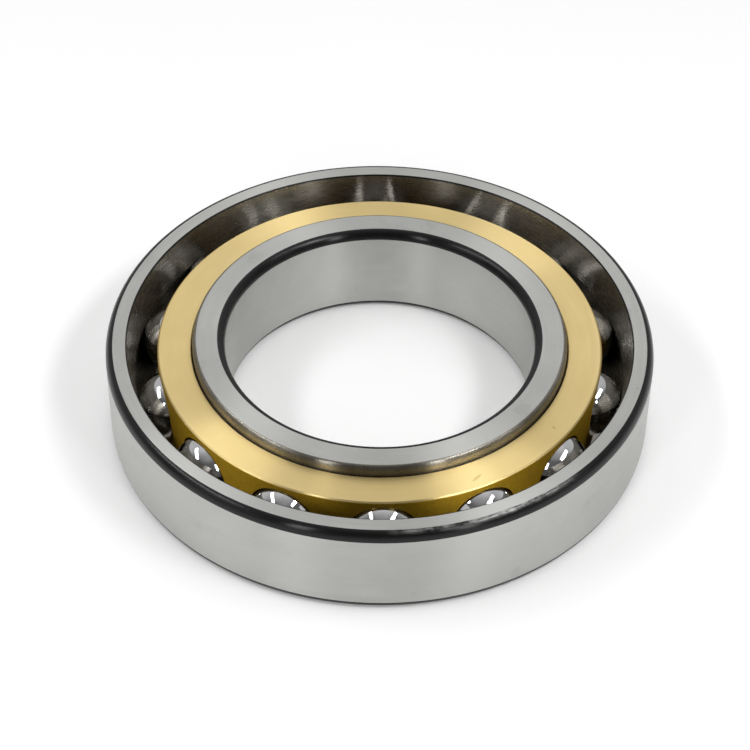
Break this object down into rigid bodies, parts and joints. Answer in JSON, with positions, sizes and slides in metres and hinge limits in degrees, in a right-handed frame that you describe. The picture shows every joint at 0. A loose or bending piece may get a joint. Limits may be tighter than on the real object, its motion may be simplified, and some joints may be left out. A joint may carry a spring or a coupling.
{
  "type": "angular contact ball bearing",
  "caption": "Open single-row angular contact ball bearing: two steel rings, one side relieved, with polished balls in a one-piece brass window cage.",
  "frame": {"origin": "centre of the lower face, on the bearing's axis, where it lies on a surface", "axes": "+Z along the bearing's axis towards the relieved side of the outer ring; +X and +Y across it"},
  "size_m": [0.15, 0.15, 0.028],
  "materials": {
    "ring_steel": "ground",
    "ball_steel": "polished",
    "cage_brass": "turned"
  },
  "bodies": {
    "outer_ring": {"outer_ring": "ring_steel"},
    "inner_ring": {"inner_ring": "ring_steel"},
    "cage": {"cage": "cage_brass"},
    "ball_01": {"ball_01": "ball_steel"},
    "ball_02": {"ball_02": "ball_steel"},
    "ball_03": {"ball_03": "ball_steel"},
    "ball_04": {"ball_04": "ball_steel"},
    "ball_05": {"ball_05": "ball_steel"},
    "ball_06": {"ball_06": "ball_steel"},
    "ball_07": {"ball_07": "ball_steel"},
    "ball_08": {"ball_08": "ball_steel"},
    "ball_09": {"ball_09": "ball_steel"},
    "ball_10": {"ball_10": "ball_steel"},
    "ball_11": {"ball_11": "ball_steel"},
    "ball_12": {"ball_12": "ball_steel"},
    "ball_13": {"ball_13": "ball_steel"},
    "ball_14": {"ball_14": "ball_steel"}
  },
  "joints": [
    {"name": "inner_ring_spin", "type": "hinge", "parent": "outer_ring", "child": "inner_ring", "pos_m": [0, 0, 0.014], "axis": [0, 0, 1], "continuous": true},
    {"name": "cage_spin", "type": "hinge", "parent": "outer_ring", "child": "cage", "pos_m": [0, 0, 0.014], "axis": [0, 0, 1], "continuous": true},
    {"name": "ball_01_spin", "type": "hinge", "parent": "cage", "child": "ball_01", "pos_m": [0.00133, -0.05873, 0.014], "axis": [0.0096, -0.4225, 0.9063], "continuous": true},
    {"name": "ball_02_spin", "type": "hinge", "parent": "cage", "child": "ball_02", "pos_m": [0.02669, -0.05234, 0.014], "axis": [0.192, -0.3765, 0.9063], "continuous": true},
    {"name": "ball_03_spin", "type": "hinge", "parent": "cage", "child": "ball_03", "pos_m": [0.04675, -0.03558, 0.014], "axis": [0.3363, -0.2559, 0.9063], "continuous": true},
    {"name": "ball_04_spin", "type": "hinge", "parent": "cage", "child": "ball_04", "pos_m": [0.05756, -0.01177, 0.014], "axis": [0.414, -0.0847, 0.9063], "continuous": true},
    {"name": "ball_05_spin", "type": "hinge", "parent": "cage", "child": "ball_05", "pos_m": [0.05697, 0.01437, 0.014], "axis": [0.4098, 0.1034, 0.9063], "continuous": true},
    {"name": "ball_06_spin", "type": "hinge", "parent": "cage", "child": "ball_06", "pos_m": [0.04509, 0.03766, 0.014], "axis": [0.3244, 0.2709, 0.9063], "continuous": true},
    {"name": "ball_07_spin", "type": "hinge", "parent": "cage", "child": "ball_07", "pos_m": [0.02428, 0.0535, 0.014], "axis": [0.1747, 0.3848, 0.9063], "continuous": true},
    {"name": "ball_08_spin", "type": "hinge", "parent": "cage", "child": "ball_08", "pos_m": [-0.00133, 0.05873, 0.014], "axis": [-0.0096, 0.4225, 0.9063], "continuous": true},
    {"name": "ball_09_spin", "type": "hinge", "parent": "cage", "child": "ball_09", "pos_m": [-0.02669, 0.05234, 0.014], "axis": [-0.192, 0.3765, 0.9063], "continuous": true},
    {"name": "ball_10_spin", "type": "hinge", "parent": "cage", "child": "ball_10", "pos_m": [-0.04675, 0.03558, 0.014], "axis": [-0.3363, 0.2559, 0.9063], "continuous": true},
    {"name": "ball_11_spin", "type": "hinge", "parent": "cage", "child": "ball_11", "pos_m": [-0.05756, 0.01177, 0.014], "axis": [-0.414, 0.0847, 0.9063], "continuous": true},
    {"name": "ball_12_spin", "type": "hinge", "parent": "cage", "child": "ball_12", "pos_m": [-0.05697, -0.01437, 0.014], "axis": [-0.4098, -0.1034, 0.9063], "continuous": true},
    {"name": "ball_13_spin", "type": "hinge", "parent": "cage", "child": "ball_13", "pos_m": [-0.04509, -0.03766, 0.014], "axis": [-0.3244, -0.2709, 0.9063], "continuous": true},
    {"name": "ball_14_spin", "type": "hinge", "parent": "cage", "child": "ball_14", "pos_m": [-0.02428, -0.0535, 0.014], "axis": [-0.1747, -0.3848, 0.9063], "continuous": true}
  ],
  "couplings": [
    {"joint": "cage_spin", "follows": "inner_ring_spin", "ratio": 0.42959},
    {"joint": "ball_01_spin", "follows": "inner_ring_spin", "ratio": -3.1543},
    {"joint": "ball_02_spin", "follows": "inner_ring_spin", "ratio": -3.1543},
    {"joint": "ball_03_spin", "follows": "inner_ring_spin", "ratio": -3.1543},
    {"joint": "ball_04_spin", "follows": "inner_ring_spin", "ratio": -3.1543},
    {"joint": "ball_05_spin", "follows": "inner_ring_spin", "ratio": -3.1543},
    {"joint": "ball_06_spin", "follows": "inner_ring_spin", "ratio": -3.1543},
    {"joint": "ball_07_spin", "follows": "inner_ring_spin", "ratio": -3.1543},
    {"joint": "ball_08_spin", "follows": "inner_ring_spin", "ratio": -3.1543},
    {"joint": "ball_09_spin", "follows": "inner_ring_spin", "ratio": -3.1543},
    {"joint": "ball_10_spin", "follows": "inner_ring_spin", "ratio": -3.1543},
    {"joint": "ball_11_spin", "follows": "inner_ring_spin", "ratio": -3.1543},
    {"joint": "ball_12_spin", "follows": "inner_ring_spin", "ratio": -3.1543},
    {"joint": "ball_13_spin", "follows": "inner_ring_spin", "ratio": -3.1543},
    {"joint": "ball_14_spin", "follows": "inner_ring_spin", "ratio": -3.1543}
  ]
}
